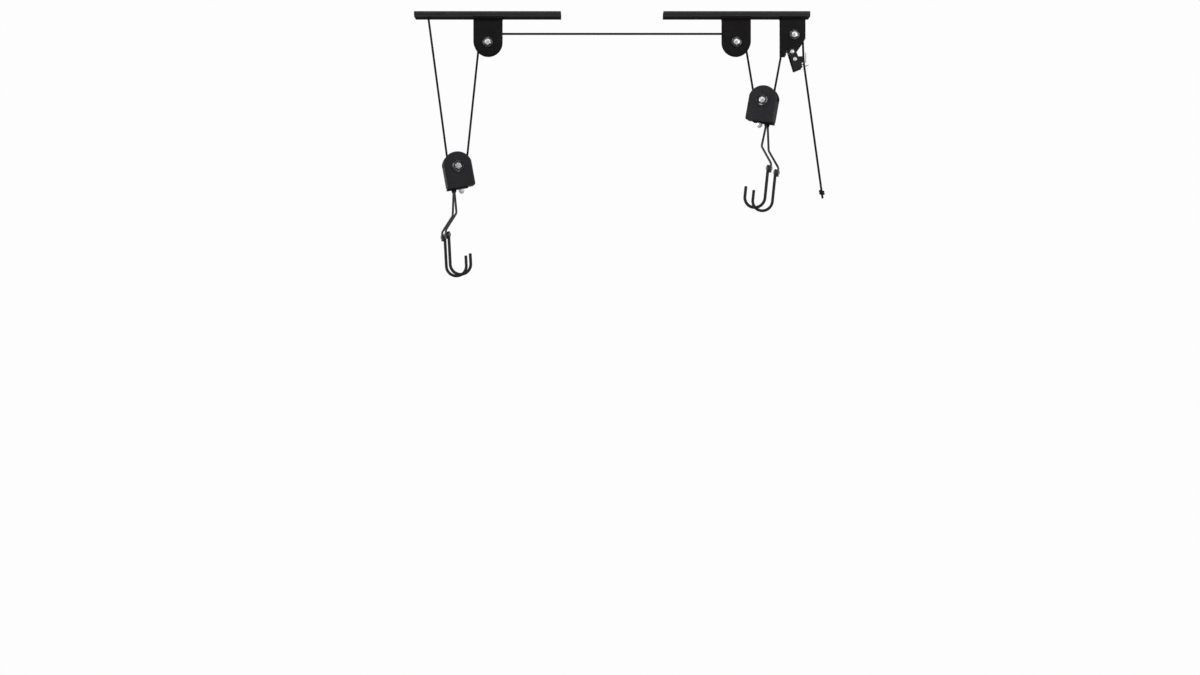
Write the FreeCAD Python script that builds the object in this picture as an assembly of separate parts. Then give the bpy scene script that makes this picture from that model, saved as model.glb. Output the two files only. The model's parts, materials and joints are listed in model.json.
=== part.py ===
import FreeCAD
import Part
import math
import os

# Ceiling hoist with two rails, five pulleys, two hanging blocks with hooks and a rope lock.
# Millimetres. Origin: centre of the front rail's ceiling face. X along the rails, Z up.

# Rails
rail_length = 346.0
rail_depth = 40.0
rail_height = 13.0
rail_sheet = 2.0
rail_corner = 4.0
rail_spacing = 588.0
screw_spacing = 168.0
screw_hole_radius = 3.5

# Rope
rope_radius = 2.5
rope_bend_radius = 21.0
rope_gap = 0.5
anchor_inset = 31.5
anchor_hole_clearance = 0.9
anchor_knot_radius = 5.4
anchor_knot_height = 8.0
tail_knot_radius = 6.8
tail_knot_height = 14.0
knot_round = 3.2
tail_guide_reach = 28.5
tail_guide_drop = 22.6
tail_reach = 42.0
tail_drop = 302.4
tail_bend_share = 0.45

# Pulleys, bushes and axle bolts
pulley_radius = 25.0
pulley_width = 12.0
groove_clearance = 0.35
groove_slope = 20.0
pulley_recess = 1.8
recess_inner = 9.5
recess_outer = 15.5
pulley_side_gap = 0.6
bolt_radius = 4.0
bush_wall = 2.0
running_clearance = 0.05
hex_flats = 13.0
hex_face_inset = 0.26
hex_face_slope = 30.0
bolt_head_height = 4.4
bolt_head_dome = 1.7
nut_height = 6.5
nut_collar_height = 1.6
nut_collar_inset = 0.65
bolt_end = 2.0
washer_radius = 11.8
block_washer_radius = 13.4
washer_thickness = 1.6
washer_seat = 8.4
washer_lip = 1.4
washer_round = 0.7

# Pulley brackets
bracket_sheet = 3.0
bracket_bend = 4.0
bracket_half_width = 34.0
bracket_end_drop = 69.3
bracket_axle_drop = 71.3
rivet_radius = 1.6
rivet_head_radius = 2.4
rivet_head_height = 1.1
bracket_rivet_offset = 24.0
foot_edge = 3.6
foot_rivet_gap = 0.2

# Rope lock bracket
lock_end_inset = 10.0
lock_width = 59.0
lock_sheet = 2.0
lock_bend = 2.8
lock_gap = 16.0
lock_axle_inset = 26.4
lock_axle_drop = 54.3
lock_strip_width = 13.0
lock_strip_drop = 103.8
lock_slot_top = 87.3
lock_back_slot_top = 78.3
lock_right_drop = 63.3
lock_shoulder_inset = 7.5
lock_shoulder_drop = 76.3
rope_wall_sheet = 2.5
rope_wall_top_drop = 65.3
rope_wall_low_drop = 83.3
rope_wall_gap = 0.1
lock_rivet_inset = 9.0

# Lock lever, cam and their pins, with places measured from the lever pivot
pivot_inset = 31.5
pivot_drop = 94.3
pivot_boss_radius = 9.0
lever_sheet = 2.0
lever_side_gap = 0.3
lever_pin_radius = 3.0
lever_pin_head = 4.8
lever_pin_rise = 2.4
lever_pin_x = 6.5
lever_pin_z = -17.6
lever_round = 2.0
lever_shoulder_x = 8.4
lever_shoulder_z = 3.2
lever_waist_x = 13.5
lever_waist_z = -10.0
lever_heel_x = 24.9
lever_heel_z = -37.5
lever_tip_x = 4.9
lever_tip_z = -45.8
arm_sheet = 2.0
arm_side_gap = 0.2
arm_top = -10.0
arm_bottom = -23.0
arm_end_x = 28.5
arm_floor_gap = 0.5
arm_floor_end = 20.5
cam_thickness = 6.0
cam_boss_radius = 8.0
cam_tail_radius = 5.0
cam_top_drop = 79.3
cam_low_angle = 216.9
cam_high_angle = 53.1
tooth_count = 4
tooth_pitch = 2.5
tooth_depth = 1.5
tooth_valley_share = 0.75
cam_rope_gap = 0.4
pin_shoulder_radius = 4.2
pulley_spacer_radius = 8.6
wire_radius = 1.0
wire_bend = 2.2
wire_side = 4.6
wire_cross_reach = 23.0
finger_start_reach = 25.5
finger_start_drop = 3.0
finger_low_reach = 33.0
finger_low_drop = 8.0
finger_tip_reach = 40.5
finger_tip_drop = 5.0
loop_reach = 32.9
loop_drop = 1.3
loop_rise = 22.5

# Lock spring
spring_wire_radius = 0.4
spring_coil_radius = 4.3
spring_turns = 2
spring_pitch = 1.32
spring_rest_gap = 0.3
spring_lower_leg = 17.0
spring_upper_leg = 39.0
spring_sample = 0.25

# Hanging blocks
front_block_x = 65.5
front_block_drop = 209.3
rear_block_x = -661.0
rear_block_drop = 365.3
rear_block_yaw = 12.0
front_block_yaw = 18.0
block_tilt = 10.4
housing_half_width = 33.8
housing_dome_radius = 35.0
housing_drop = 50.0
housing_half_depth = 17.5
housing_wall = 3.0
housing_corner = 5.0
housing_round = 3.0
housing_inner_corner = 2.0
seam_chamfer = 0.4
housing_opening_z = 2.0
boss_radius = 9.5
ring_clearance = 0.6
ring_width = 3.0
ring_height = 1.2
bush_end_gap = 0.1

# Hanger plate, its bolt and the hook
hanger_sheet = 3.0
hanger_half_width = 11.0
hanger_back = 16.0
hanger_front = 34.0
eye_half_width = 5.0
eye_wall = 2.8
hook_offset = 18.0
cap_nut_dome = 5.0
cap_nut_inset = 0.52
rear_hook_lean = 3.0
front_hook_lean = 6.0
hook_radius = 2.6
hook_bar_half = 9.0
hook_bar_bend = 6.0
hook_bend = 10.0
neck_drop = 55.0
neck_out = 1.5
neck_half = 42.0
lap_top_drop = 94.0
lap_length = 21.0
shank_out = 22.7
shank_half = 45.0
shank_bottom_drop = 175.0
cup_radius = 24.0
tip_rise = 21.0
sleeve_wall = 0.9
sleeve_cap = 1.5
sleeve_top_gap = 3.5
clip_start = 4.0
clip_height = 7.5
clip_wall = 1.5

# Working values: how far a cut runs past a face, a length that counts as nothing, rounds of a search
cut_past = 1.0
tiny = 1e-6
tangent_rounds = 20

up = FreeCAD.Vector(0, 0, 1)
along_x = FreeCAD.Vector(1, 0, 0)
along_y = FreeCAD.Vector(0, 1, 0)
half_length = rail_length / 2
lock_right = half_length - lock_end_inset
lock_left = lock_right - lock_width
lock_axle_x = lock_right - lock_axle_inset
pivot_x = lock_right - pivot_inset
axle_z = -bracket_axle_drop
lock_axle_z = -lock_axle_drop
pivot_z = -pivot_drop
pulley_half = pulley_width / 2
bracket_gap = pulley_width + 2 * pulley_side_gap
bracket_face = bracket_gap / 2 + bracket_sheet
lock_face = lock_gap / 2 + lock_sheet
foot_reach = rail_depth / 2 - foot_edge
foot_rivet_y = lock_gap / 2 + lock_bend + rivet_head_radius + foot_rivet_gap
bush_radius = bolt_radius + bush_wall
bolt_hole = bolt_radius + running_clearance
rivet_hole = rivet_radius + running_clearance
pin_hole = lever_pin_radius + running_clearance
sleeve_radius = hook_radius + sleeve_wall

solids = {}


def point(x, y, z):
    return FreeCAD.Vector(x, y, z)


def box(x0, x1, y0, y1, z0, z1):
    return Part.makeBox(x1 - x0, y1 - y0, z1 - z0, point(x0, y0, z0))


def cylinder(radius, start, end):
    return Part.makeCylinder(radius, (end - start).Length, start, end - start)


def tube(outer, inner, start, end):
    return cylinder(outer, start, end).cut(cylinder(inner, start, end))


def outline_edges(start, steps, place):
    # a step of two numbers is a straight line, and one of four is an arc through its first pair
    edges = []
    here = place(*start)
    for step in steps:
        there = place(*step[-2:])
        if (there - here).Length < tiny:
            continue
        if len(step) == 2:
            edges.append(Part.makeLine(here, there))
        else:
            edges.append(Part.Arc(here, place(*step[:2]), there).toShape())
        here = there
    if (place(*start) - here).Length > tiny:
        edges.append(Part.makeLine(here, place(*start)))
    return edges


def plate(start, steps, y0, y1):
    # a flat plate whose outline is drawn in X and Z, from y0 to y1
    edges = outline_edges(start, steps, lambda x, z: point(x, y0, z))
    return Part.Face(Part.Wire(edges)).extrude(point(0, y1 - y0, 0))


def turned(start, steps, axis=along_y):
    # a ring turned about the Y axis from an outline drawn in radius and Y
    edges = outline_edges(start, steps, lambda radius, y: point(radius, y, 0))
    return Part.Face(Part.Wire(edges)).revolve(point(0, 0, 0), axis, 360)


def corner_arc(cx, cz, radius, degrees_middle, degrees_end):
    # an arc step round a corner centre, given by its middle and end angles
    middle = math.radians(degrees_middle)
    end = math.radians(degrees_end)
    return (
        cx + radius * math.cos(middle),
        cz + radius * math.sin(middle),
        cx + radius * math.cos(end),
        cz + radius * math.sin(end),
    )


def rounded_bar(half, z0, z1, corner, x0, x1):
    # a bar along X with a rounded rectangle for its section
    steps = [(half, z1 - corner)]
    steps.append(corner_arc(half - corner, z1 - corner, corner, 45, 90))
    steps.append((corner - half, z1))
    steps.append(corner_arc(corner - half, z1 - corner, corner, 135, 180))
    steps.append((-half, z0 + corner))
    steps.append(corner_arc(corner - half, z0 + corner, corner, 225, 270))
    steps.append((half - corner, z0))
    steps.append(corner_arc(half - corner, z0 + corner, corner, 315, 360))
    edges = outline_edges((half, z0 + corner), steps, lambda y, z: point(x0, y, z))
    return Part.Face(Part.Wire(edges)).extrude(point(x1 - x0, 0, 0))


def angle_plate(start, steps, inner, sheet, bend, side):
    # a hanging plate with the given outline and a foot that is bent outwards under the rail
    top = bracket_top
    flat = plate(start, steps, inner, foot_reach)
    low = flat.BoundBox.ZMin
    centre_y = inner + bend
    centre_z = top - bend
    section = [(inner, centre_z)]
    section.append(corner_arc(centre_y, centre_z, bend, 135, 90))
    section.append((foot_reach, top))
    section.append((foot_reach, top - sheet))
    section.append((centre_y, top - sheet))
    section.append(corner_arc(centre_y, centre_z, bend - sheet, 135, 180))
    section.append((inner + sheet, low))
    x0 = flat.BoundBox.XMin
    edges = outline_edges((inner, low), section, lambda y, z: point(x0, y, z))
    bent = Part.Face(Part.Wire(edges)).extrude(point(flat.BoundBox.XLength, 0, 0))
    shape = bent.common(flat)
    if side < 0:
        shape = shape.mirror(point(0, 0, 0), along_y)
    return shape


def moved(shape, x, y, z):
    copy = shape.copy()
    copy.translate(point(x, y, z))
    return copy


def hexagon(y0, y1, chamfer_y0, chamfer_y1):
    # a hexagon bar along Y with its corners turned off at the ends that are chamfered
    corner = hex_flats / math.sqrt(3)
    points = []
    for side in range(7):
        angle = math.radians(60 * side + 30)
        points.append(point(corner * math.cos(angle), y0, corner * math.sin(angle)))
    bar = Part.Face(Part.makePolygon(points)).extrude(point(0, y1 - y0, 0))
    flat = hex_flats / 2 - hex_face_inset
    slope = (corner - flat) * math.tan(math.radians(hex_face_slope))
    low = y0 + slope if chamfer_y0 else y0
    high = y1 - slope if chamfer_y1 else y1
    steps = [(flat if chamfer_y0 else corner, y0)]
    steps.append((corner, low))
    steps.append((corner, high))
    steps.append((flat if chamfer_y1 else corner, y1))
    steps.append((0, y1))
    return bar.common(turned((0, y0), steps))


def dome(foot, rise, y):
    # a round cap that stands on a flat face at y
    radius = (foot**2 + rise**2) / (2 * rise)
    ball = Part.makeSphere(radius, point(0, y + rise - radius, 0))
    return ball.common(cylinder(foot, point(0, y, 0), point(0, y + rise, 0)))


def axle_bolt(face):
    # domed head on the -Y side, thread end on the +Y side, for plates whose outer faces are at +-face
    seat = face + washer_thickness
    top = seat + bolt_head_height
    head = hexagon(-top, -seat, True, False)
    cap = dome(hex_flats / 2 - hex_face_inset, bolt_head_dome, top).mirror(point(0, 0, 0), along_y)
    end = seat + nut_height + nut_collar_height + bolt_end
    shank = cylinder(bolt_radius, point(0, -seat, 0), point(0, end, 0))
    return head.fuse([cap, shank]).removeSplitter()


def axle_washers(face, radius):
    # one on each side, dished up to a rounded rim
    seat = face + washer_thickness
    crest = seat + washer_lip
    rim = radius - washer_round
    steps = [(radius, face), (radius, crest - washer_round)]
    steps.append(corner_arc(rim, crest - washer_round, washer_round, 45, 90))
    steps.append((washer_seat, seat))
    steps.append((bolt_hole, seat))
    washer = turned((bolt_hole, face), steps)
    return [washer.mirror(point(0, 0, 0), along_y), washer]


def axle_nut(face):
    seat = face + washer_thickness
    top = seat + nut_height
    nut = hexagon(seat, top, False, True)
    collar_radius = hex_flats / 2 - nut_collar_inset
    collar = cylinder(collar_radius, point(0, top, 0), point(0, top + nut_collar_height, 0))
    hole = cylinder(bolt_hole, point(0, seat, 0), point(0, top + nut_collar_height, 0))
    return nut.fuse(collar).cut(hole)


def bush(half):
    return tube(bush_radius, bolt_hole, point(0, -half, 0), point(0, half, 0))


def pulley():
    # a grooved wheel about Y with a bore that runs on the bush
    bore = bush_radius + running_clearance
    groove = rope_radius + groove_clearance
    slope = math.radians(groove_slope)
    root_y = groove * math.cos(slope)
    root_r = rope_bend_radius - groove * math.sin(slope)
    rim_y = root_y + (pulley_radius - root_r) * math.tan(slope)
    inner_y = pulley_half - pulley_recess
    steps = [(recess_inner, -pulley_half)]
    steps.append((recess_inner, -inner_y))
    steps.append((recess_outer, -inner_y))
    steps.append((recess_outer, -pulley_half))
    steps.append((pulley_radius, -pulley_half))
    steps.append((pulley_radius, -rim_y))
    steps.append((root_r, -root_y))
    steps.append((rope_bend_radius - groove, 0, root_r, root_y))
    steps.append((pulley_radius, rim_y))
    steps.append((pulley_radius, pulley_half))
    steps.append((recess_outer, pulley_half))
    steps.append((recess_outer, inner_y))
    steps.append((recess_inner, inner_y))
    steps.append((recess_inner, pulley_half))
    steps.append((bore, pulley_half))
    return turned((bore, -pulley_half), steps)


def rivet(radius, head_radius, rise, low, high):
    # a rivet along Z through sheets from low to high, with a domed head at both ends
    shape = cylinder(radius, point(0, 0, low), point(0, 0, high))
    dome = (head_radius**2 + rise**2) / (2 * rise)
    ball = Part.makeSphere(dome, point(0, 0, high + rise - dome))
    cap = ball.common(cylinder(head_radius, point(0, 0, high), point(0, 0, high + rise)))
    other = cap.mirror(point(0, 0, (low + high) / 2), up)
    return shape.fuse([cap, other]).removeSplitter()


def bent_rod(points, bends, radius):
    # a round rod along straight runs that are joined by tangent arcs, one bend radius a corner
    edges = []
    here = points[0]
    for before, corner, after, bend in zip(points, points[1:], points[2:], bends):
        back = (before - corner).normalize()
        on = (after - corner).normalize()
        half_turn = (math.pi - back.getAngle(on)) / 2
        reach = bend * math.tan(half_turn)
        start = corner + back * reach
        end = corner + on * reach
        inward = (back + on).normalize()
        middle = corner + inward * (bend / math.cos(half_turn) - bend)
        if (start - here).Length > tiny:
            edges.append(Part.makeLine(here, start))
        edges.append(Part.Arc(start, middle, end).toShape())
        here = end
    edges.append(Part.makeLine(here, points[-1]))
    return swept(edges, radius)


def swept(edges, radius):
    wire = Part.Wire(edges)
    start = edges[0].Vertexes[0].Point
    heading = edges[0].tangentAt(edges[0].FirstParameter)
    section = Part.Wire([Part.makeCircle(radius, start, heading)])
    solid = wire.makePipeShell([section], True, False)
    return solid


def barrel(radius, height, rounding):
    # a knot's outer shape, standing on Z 0
    shape = Part.makeCylinder(radius, height)
    rims = [edge for edge in shape.Edges if isinstance(edge.Curve, Part.Circle)]
    return shape.makeFillet(rounding, rims)


def save(name, shapes):
    group = shapes if isinstance(shapes, list) else [shapes]
    solids[name] = group


# Rails: box sections, with screw holes through both walls
floor_top = rail_sheet - rail_height
bracket_top = -rail_height
rear_x = -rail_spacing
anchor_x = rear_x - half_length + anchor_inset
anchor_hole = rope_radius + anchor_hole_clearance
lock_rivets = (lock_left + lock_rivet_inset, lock_right - lock_rivet_inset)


def rail(centre, rivet_places):
    inset = rail_sheet
    half = rail_depth / 2
    x0 = centre - half_length
    x1 = centre + half_length
    shape = rounded_bar(half, -rail_height, 0, rail_corner, x0, x1)
    hollow = rounded_bar(half - inset, floor_top, -inset, rail_corner - inset, x0, x1)
    shape = shape.cut(hollow)
    for side in (-1, 1):
        x = centre + side * screw_spacing / 2
        shape = shape.cut(cylinder(screw_hole_radius, point(x, 0, -rail_height), point(x, 0, 0)))
    for x in rivet_places:
        for y in (-foot_rivet_y, foot_rivet_y):
            hole = cylinder(rivet_hole, point(x, y, -rail_height), point(x, y, floor_top))
            shape = shape.cut(hole)
    return shape


bracket_rivet_x = (-bracket_rivet_offset, bracket_rivet_offset)
rear_rail = rail(rear_x, [rear_x + x for x in bracket_rivet_x])
anchor_cut = cylinder(anchor_hole, point(anchor_x, 0, -rail_height), point(anchor_x, 0, floor_top))
save("rear_rail", rear_rail.cut(anchor_cut))
save("front_rail", rail(0, bracket_rivet_x + lock_rivets))


# Pulley brackets: two bent plates under each rail, each with a half round lower end
def drilled(shape, places, radius):
    # holes along Y through a hanging plate
    for x, z in places:
        shape = shape.cut(cylinder(radius, point(x, -foot_reach, z), point(x, foot_reach, z)))
    return shape


def foot_drilled(shape, rivet_places, sheet, side):
    for x in rivet_places:
        y = side * foot_rivet_y
        hole = cylinder(rivet_hole, point(x, y, bracket_top - sheet), point(x, y, bracket_top))
        shape = shape.cut(hole)
    return shape


def pulley_bracket_plate(side):
    half = bracket_half_width
    end_z = -bracket_end_drop
    steps = [(half, end_z)]
    steps.append((0, end_z - half, -half, end_z))
    steps.append((-half, bracket_top))
    inner = bracket_gap / 2
    shape = angle_plate((half, bracket_top), steps, inner, bracket_sheet, bracket_bend, side)
    shape = drilled(shape, [(0, axle_z)], bolt_hole)
    return foot_drilled(shape, bracket_rivet_x, bracket_sheet, side)


for name, centre in (("rear", rear_x), ("front", 0)):
    save(f"{name}_bracket_front_plate", moved(pulley_bracket_plate(-1), centre, 0, 0))
    save(f"{name}_bracket_back_plate", moved(pulley_bracket_plate(1), centre, 0, 0))

rivet_rows = [(rear_x + x, bracket_sheet) for x in bracket_rivet_x]
rivet_rows += [(x, bracket_sheet) for x in bracket_rivet_x]
rivet_rows += [(x, lock_sheet) for x in lock_rivets]
bracket_rivets = []
for x, sheet in rivet_rows:
    low = bracket_top - sheet
    one = rivet(rivet_radius, rivet_head_radius, rivet_head_height, low, floor_top)
    bracket_rivets += [moved(one, x, y, 0) for y in (-foot_rivet_y, foot_rivet_y)]
save("bracket_rivets", bracket_rivets)


# Rope route: each pulley is a circle with a centre and the level direction of its own plane
def circle(x, drop, yaw):
    turn = math.radians(yaw)
    return point(x, 0, -drop), point(math.cos(turn), math.sin(turn), 0)


def on_circle(wheel, angle):
    centre, level = wheel
    return centre + level * (rope_bend_radius * math.cos(angle)) + up * (rope_bend_radius * math.sin(angle))


def contact(wheel, target, side):
    # the angle where a straight run to the target leaves the wheel
    centre, level = wheel
    away = target - centre
    across = away.dot(level)
    distance = math.hypot(across, away.z)
    return math.atan2(away.z, across) + side * math.acos(rope_bend_radius / distance)


def run_between(first, first_side, second, second_side):
    there = second[0]
    for _ in range(tangent_rounds):
        first_angle = contact(first, there, first_side)
        second_angle = contact(second, on_circle(first, first_angle), second_side)
        there = on_circle(second, second_angle)
    return first_angle, second_angle


def wrap(wheel, start_angle, end_angle):
    # the stretch of rope that lies in a pulley's groove
    middle = on_circle(wheel, (start_angle + end_angle) / 2)
    return Part.Arc(on_circle(wheel, start_angle), middle, on_circle(wheel, end_angle)).toShape()


def fall(start, end):
    # a straight stretch of rope that stops just short of the pieces at its two ends
    heading = (end - start).normalize()
    return cylinder(rope_radius, start + heading * rope_gap, end - heading * rope_gap)


def check_tube(name, solid, length):
    share = solid.Volume / (math.pi * rope_radius**2 * length)
    print(f"{name}: length {length:.1f}, volume share {share:.4f}, bend radius {rope_bend_radius:.1f}")


rear_wheel = circle(rear_x, bracket_axle_drop, 0)
front_wheel = circle(0, bracket_axle_drop, 0)
lock_wheel = circle(lock_axle_x, lock_axle_drop, 0)
rear_block_wheel = circle(rear_block_x, rear_block_drop, rear_block_yaw)
front_block_wheel = circle(front_block_x, front_block_drop, -front_block_yaw)

anchor = point(anchor_x, 0, floor_top)
rear_out = contact(rear_block_wheel, anchor, 1)
rear_in, rear_top = run_between(rear_block_wheel, -1, rear_wheel, -1)
front_in, front_top = run_between(front_block_wheel, 1, front_wheel, 1)
front_out, lock_in = run_between(front_block_wheel, -1, lock_wheel, -1)
guide = point(pivot_x + tail_guide_reach, 0, pivot_z - tail_guide_drop)
tail_end = guide + point(tail_reach, 0, -tail_drop)
lock_out = contact(lock_wheel, guide, 1)
full = 2 * math.pi
quarter = math.pi / 2

anchor_knot = barrel(anchor_knot_radius, anchor_knot_height, knot_round)
save("rope_anchor_knot", moved(anchor_knot, anchor_x, 0, floor_top))
save("rope_rear_outer_fall", fall(anchor, on_circle(rear_block_wheel, rear_out)))
save("rope_rear_inner_fall", fall(on_circle(rear_block_wheel, rear_in), on_circle(rear_wheel, rear_top)))
save("rope_front_inner_fall", fall(on_circle(front_block_wheel, front_in), on_circle(front_wheel, front_top)))
save("rope_front_outer_fall", fall(on_circle(front_block_wheel, front_out), on_circle(lock_wheel, lock_in)))

block_wraps = (
    ("rear_block_rope", rear_block_wheel, rear_out % full, rear_in % full),
    ("front_block_rope", front_block_wheel, front_in % full, front_out % full),
)
for name, wheel, start_angle, end_angle in block_wraps:
    if end_angle < math.pi:
        end_angle += full
    arc = wrap(wheel, start_angle, end_angle)
    solid = swept([arc], rope_radius)
    check_tube(name, solid, arc.Length)
    save(name, solid)

rear_arc = wrap(rear_wheel, rear_top % full, quarter)
front_arc = wrap(front_wheel, quarter, front_top)
level_run = Part.makeLine(on_circle(rear_wheel, quarter), on_circle(front_wheel, quarter))
span = swept([rear_arc, level_run, front_arc], rope_radius)
check_tube("rope_rail_span", span, rear_arc.Length + level_run.Length + front_arc.Length)
save("rope_rail_span", span)

lock_arc = wrap(lock_wheel, lock_in % full, lock_out)
lock_wrap = swept([lock_arc], rope_radius)
check_tube("rope_lock_wrap", lock_wrap, lock_arc.Length)
save("rope_lock_wrap", lock_wrap)

tail_start = on_circle(lock_wheel, lock_out)
guide_turn = (guide - tail_start).getAngle(tail_end - guide) / 2
tail_bend = tail_bend_share * (guide - tail_start).Length / math.tan(guide_turn)
tail = bent_rod([tail_start, guide, tail_end], [tail_bend], rope_radius)
print(f"rope_tail: bend radius {tail_bend:.1f}")
save("rope_tail", tail)

tail_knot = barrel(tail_knot_radius, tail_knot_height, knot_round)
tail_turn = FreeCAD.Rotation(up, tail_end - guide)
save("rope_tail_knot", tail_knot.transformed(FreeCAD.Placement(tail_end, tail_turn).toMatrix(), True))


# Rope lock bracket: two bent plates, with a wall folded from the front one behind the rope
def lock_bracket_plate(side):
    low = -lock_strip_drop
    strip = lock_left + lock_strip_width
    slot_top = -lock_slot_top if side < 0 else -lock_back_slot_top
    boss_left = pivot_x - pivot_boss_radius
    shoulder_x = lock_right - lock_shoulder_inset
    shoulder_z = -lock_shoulder_drop
    away_x = shoulder_x - pivot_x
    away_z = shoulder_z - pivot_z
    lean = math.acos(pivot_boss_radius / math.hypot(away_x, away_z))
    boss_end = math.degrees(math.atan2(away_z, away_x) - lean)
    steps = [(lock_left, low)]
    steps.append((strip, low))
    steps.append((strip, slot_top))
    steps.append((boss_left, slot_top))
    steps.append((boss_left, pivot_z))
    steps.append(corner_arc(pivot_x, pivot_z, pivot_boss_radius, (boss_end - 180) / 2, boss_end))
    steps.append((shoulder_x, shoulder_z))
    steps.append((lock_right, -lock_right_drop))
    steps.append((lock_right, bracket_top))
    inner = lock_gap / 2
    shape = angle_plate((lock_left, bracket_top), steps, inner, lock_sheet, lock_bend, side)
    if side < 0:
        wall_x = lock_left + rope_wall_sheet
        wall_y = inner - rope_wall_gap
        wall = box(lock_left, wall_x, -inner, wall_y, -rope_wall_low_drop, -rope_wall_top_drop)
        shape = shape.fuse(wall).removeSplitter()
    shape = drilled(shape, [(lock_axle_x, lock_axle_z)], bolt_hole)
    shape = drilled(shape, [(pivot_x, pivot_z)], pin_hole)
    return foot_drilled(shape, lock_rivets, lock_sheet, side)


save("lock_bracket_front_plate", lock_bracket_plate(-1))
save("lock_bracket_back_plate", lock_bracket_plate(1))

# Axles of the three fixed pulleys
fixed_axles = (
    (rear_x, axle_z, bracket_face, bracket_gap / 2),
    (0, axle_z, bracket_face, bracket_gap / 2),
    (lock_axle_x, lock_axle_z, lock_face, lock_gap / 2),
)
bolts = []
washers = []
nuts = []
bushes = []
for x, z, face, half_gap in fixed_axles:
    bolts.append(moved(axle_bolt(face), x, 0, z))
    washers += [moved(washer, x, 0, z) for washer in axle_washers(face, washer_radius)]
    nuts.append(moved(axle_nut(face), x, 0, z))
    bushes.append(moved(bush(half_gap), x, 0, z))
spacer_start = pulley_half + pulley_side_gap / 2
for side in (-1, 1):
    start = point(lock_axle_x, side * spacer_start, lock_axle_z)
    end = point(lock_axle_x, side * lock_gap / 2, lock_axle_z)
    bushes.append(tube(pulley_spacer_radius, bush_radius + running_clearance, start, end))
save("bracket_axle_bolts", bolts)
save("bracket_axle_washers", washers)
save("bracket_axle_nuts", nuts)
save("bracket_axle_bushes", bushes)
save("rear_rail_pulley", moved(pulley(), rear_x, 0, axle_z))
save("front_rail_pulley", moved(pulley(), 0, 0, axle_z))
save("lock_pulley", moved(pulley(), lock_axle_x, 0, lock_axle_z))

# Lock lever: two plates outside the cheeks, pinned to the cam and the arm between them
lever_inner = lock_face + lever_side_gap
lever_outer = lever_inner + lever_sheet
arm_inner = cam_thickness / 2 + arm_side_gap
arm_outer = arm_inner + arm_sheet
pin_x = pivot_x + lever_pin_x
pin_z = pivot_z + lever_pin_z
lever_pins = ((pivot_x, pivot_z), (pin_x, pin_z))


def lever_plate(y0, y1):
    top = pivot_boss_radius
    steps = [(0, top, lever_shoulder_x, lever_shoulder_z)]
    steps.append((lever_waist_x, lever_waist_z))
    steps.append((lever_heel_x, lever_heel_z))
    steps.append((lever_tip_x, lever_tip_z))
    shape = plate((-top, 0), steps, y0, y1)
    across = [edge for edge in shape.Edges if edge.BoundBox.YLength > lever_sheet - tiny]
    corners = [edge for edge in across if edge.BoundBox.ZMax < lever_waist_z - tiny]
    shape = shape.makeFillet(lever_round, corners)
    shape.translate(point(pivot_x, 0, pivot_z))
    return drilled(shape, lever_pins, pin_hole)


save("lever_front_plate", lever_plate(-lever_outer, -lever_inner))
save("lever_back_plate", lever_plate(lever_inner, lever_outer))


def lever_rivet(x, z, shoulder):
    # a domed pin along Y; the lower one is thicker between the arm and the lever plates
    shape = rivet(lever_pin_radius, lever_pin_head, lever_pin_rise, -lever_outer, lever_outer)
    if shoulder:
        for side in (-1, 1):
            start = point(0, 0, side * arm_outer)
            end = point(0, 0, side * lever_inner)
            shape = shape.fuse(cylinder(pin_shoulder_radius, start, end))
    shape.rotate(point(0, 0, 0), along_x, 90)
    return moved(shape.removeSplitter(), x, 0, z)


save("lever_rivets", [lever_rivet(pivot_x, pivot_z, False), lever_rivet(pin_x, pin_z, True)])


def lever_arm():
    # a fork that holds the rope's tail between its cheeks, with a floor under its middle
    centre_z = (arm_top + arm_bottom) / 2
    half = (arm_top - arm_bottom) / 2
    steps = [(arm_end_x, arm_top), (arm_end_x, arm_bottom), (lever_pin_x, arm_bottom)]
    steps.append((lever_pin_x - half, centre_z, lever_pin_x, arm_top))
    outline = plate((lever_pin_x, arm_top), steps, -arm_outer, arm_outer)
    far = arm_end_x + cut_past
    shape = outline.cut(box(-far, far, -arm_inner, arm_inner, arm_bottom, arm_top))
    floor_start = lever_pin_x + cam_tail_radius + arm_floor_gap
    floor_high = arm_bottom + arm_sheet
    shape = shape.fuse(box(floor_start, arm_floor_end, -arm_inner, arm_inner, arm_bottom, floor_high))
    shape = shape.removeSplitter()
    shape.translate(point(pivot_x, 0, pivot_z))
    return drilled(shape, [(pin_x, pin_z)], pin_hole)


save("lever_arm", lever_arm())


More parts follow.
